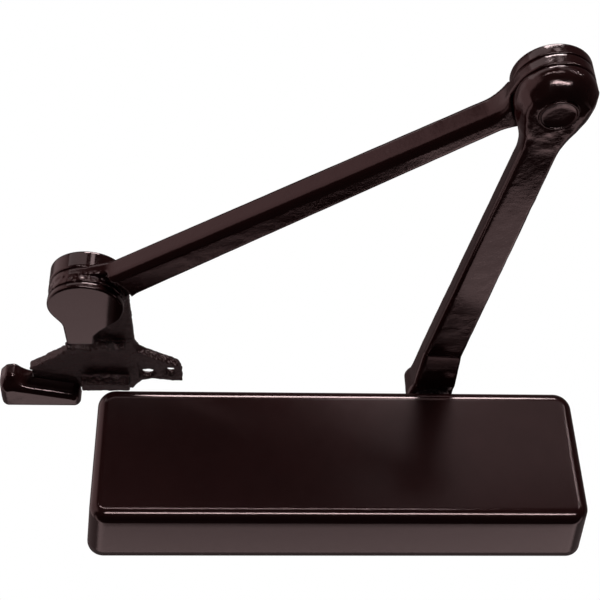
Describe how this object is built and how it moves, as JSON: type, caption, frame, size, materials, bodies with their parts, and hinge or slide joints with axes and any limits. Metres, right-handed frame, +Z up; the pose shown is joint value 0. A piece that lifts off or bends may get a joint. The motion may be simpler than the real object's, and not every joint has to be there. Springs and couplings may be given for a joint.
{
  "type": "door closer",
  "caption": "Surface door closer: rack-and-pinion spring cylinder under a rounded full cover, jointed main arm and forearm, and a forged soffit shoe with a stop block.",
  "frame": {"origin": "centre of the four mounting holes, on the mounting face that goes against the door", "axes": "+X along the cover from the spring end to the pinion end, +Y into the door, +Z up along the pinion towards the arms"},
  "size_m": [0.3899, 0.3604, 0.155],
  "materials": {
    "cover_paint": "satin baked enamel, dark bronze",
    "arm_paint": "semi-gloss enamel, dark bronze",
    "forging_paint": "semi-gloss enamel over a rough forging, dark bronze",
    "black_steel": "black oxide steel",
    "cast_iron": "primed casting",
    "bare_steel": "ground steel",
    "spring_steel": "oil-tempered wire",
    "brass": "turned brass",
    "bronze_bush": "sintered bronze",
    "seal_rubber": "moulded nitrile rubber"
  },
  "bodies": {
    "closer": {"cover": "cover_paint", "cover_screws": "black_steel", "cylinder_body": "cast_iron", "left_end_cap": "cast_iron", "right_end_cap": "cast_iron", "end_cap_seals": "seal_rubber", "power_spring": "spring_steel", "upper_bearing": "bronze_bush", "lower_bearing": "bronze_bush", "pinion_seals": "seal_rubber", "upper_gland": "black_steel", "lower_gland": "black_steel", "valve_seals": "seal_rubber"},
    "seat": {"spring_seat": "bare_steel"},
    "adjuster": {"spring_adjuster": "bare_steel"},
    "piston": {"piston": "bare_steel", "piston_seal": "seal_rubber", "check_ball": "bare_steel", "check_retainer": "brass"},
    "arm": {"pinion_shaft": "bare_steel", "main_arm": "arm_paint", "arm_washer": "black_steel", "arm_screw": "black_steel", "elbow_stud": "arm_paint", "elbow_washer": "bare_steel", "elbow_cap": "arm_paint"},
    "link": {"forearm": "arm_paint", "elbow_bush": "bronze_bush", "hub_bush": "bronze_bush"},
    "shoe": {"shoe_bracket": "forging_paint", "shoe_pin": "bare_steel", "stop_block": "arm_paint", "stop_block_screws": "black_steel"},
    "sweep": {"sweep_valve": "brass"},
    "latch": {"latch_valve": "brass"},
    "backcheck": {"backcheck_valve": "brass"}
  },
  "joints": [
    {"name": "pinion_turn", "type": "hinge", "parent": "closer", "child": "arm", "pos_m": [0.063, -0.023, 0], "axis": [0, 0, 1], "range_deg": [-170, 0], "stiffness_Nm_per_rad": 8, "springref_deg": 34.38},
    {"name": "piston_slide", "type": "slide", "parent": "closer", "child": "piston", "axis": [1, 0, 0], "range_m": [-0.0286, 0], "deforming": ["power_spring"]},
    {"name": "elbow_turn", "type": "hinge", "parent": "arm", "child": "link", "pos_m": [0.09015, -0.27293, 0], "axis": [0, 0, 1], "range_deg": [-38, 120]},
    {"name": "shoe_turn", "type": "hinge", "parent": "link", "child": "shoe", "pos_m": [-0.15788, -0.08398, 0], "axis": [0, 0, 1], "range_deg": [-75, 90]},
    {"name": "adjuster_turn", "type": "hinge", "parent": "closer", "child": "adjuster", "pos_m": [-0.14, -0.023, 0], "axis": [1, 0, 0], "range_deg": [-1800, 1800]},
    {"name": "seat_slide", "type": "slide", "parent": "closer", "child": "seat", "axis": [1, 0, 0], "range_m": [-0.0076, 0.0076]},
    {"name": "sweep_turn", "type": "hinge", "parent": "closer", "child": "sweep", "pos_m": [0.095, -0.023, -0.028], "axis": [0, 0, 1], "range_deg": [-360, 360]},
    {"name": "latch_turn", "type": "hinge", "parent": "closer", "child": "latch", "pos_m": [0.11, -0.023, -0.028], "axis": [0, 0, 1], "range_deg": [-360, 360]},
    {"name": "backcheck_turn", "type": "hinge", "parent": "closer", "child": "backcheck", "pos_m": [0.018, -0.023, -0.028], "axis": [0, 0, 1], "range_deg": [-360, 360]}
  ],
  "couplings": [
    {"joint": "piston_slide", "follows": "pinion_turn", "m_per_rad": 0.0096},
    {"joint": "seat_slide", "follows": "adjuster_turn", "m_per_rad": 0.00023873}
  ]
}
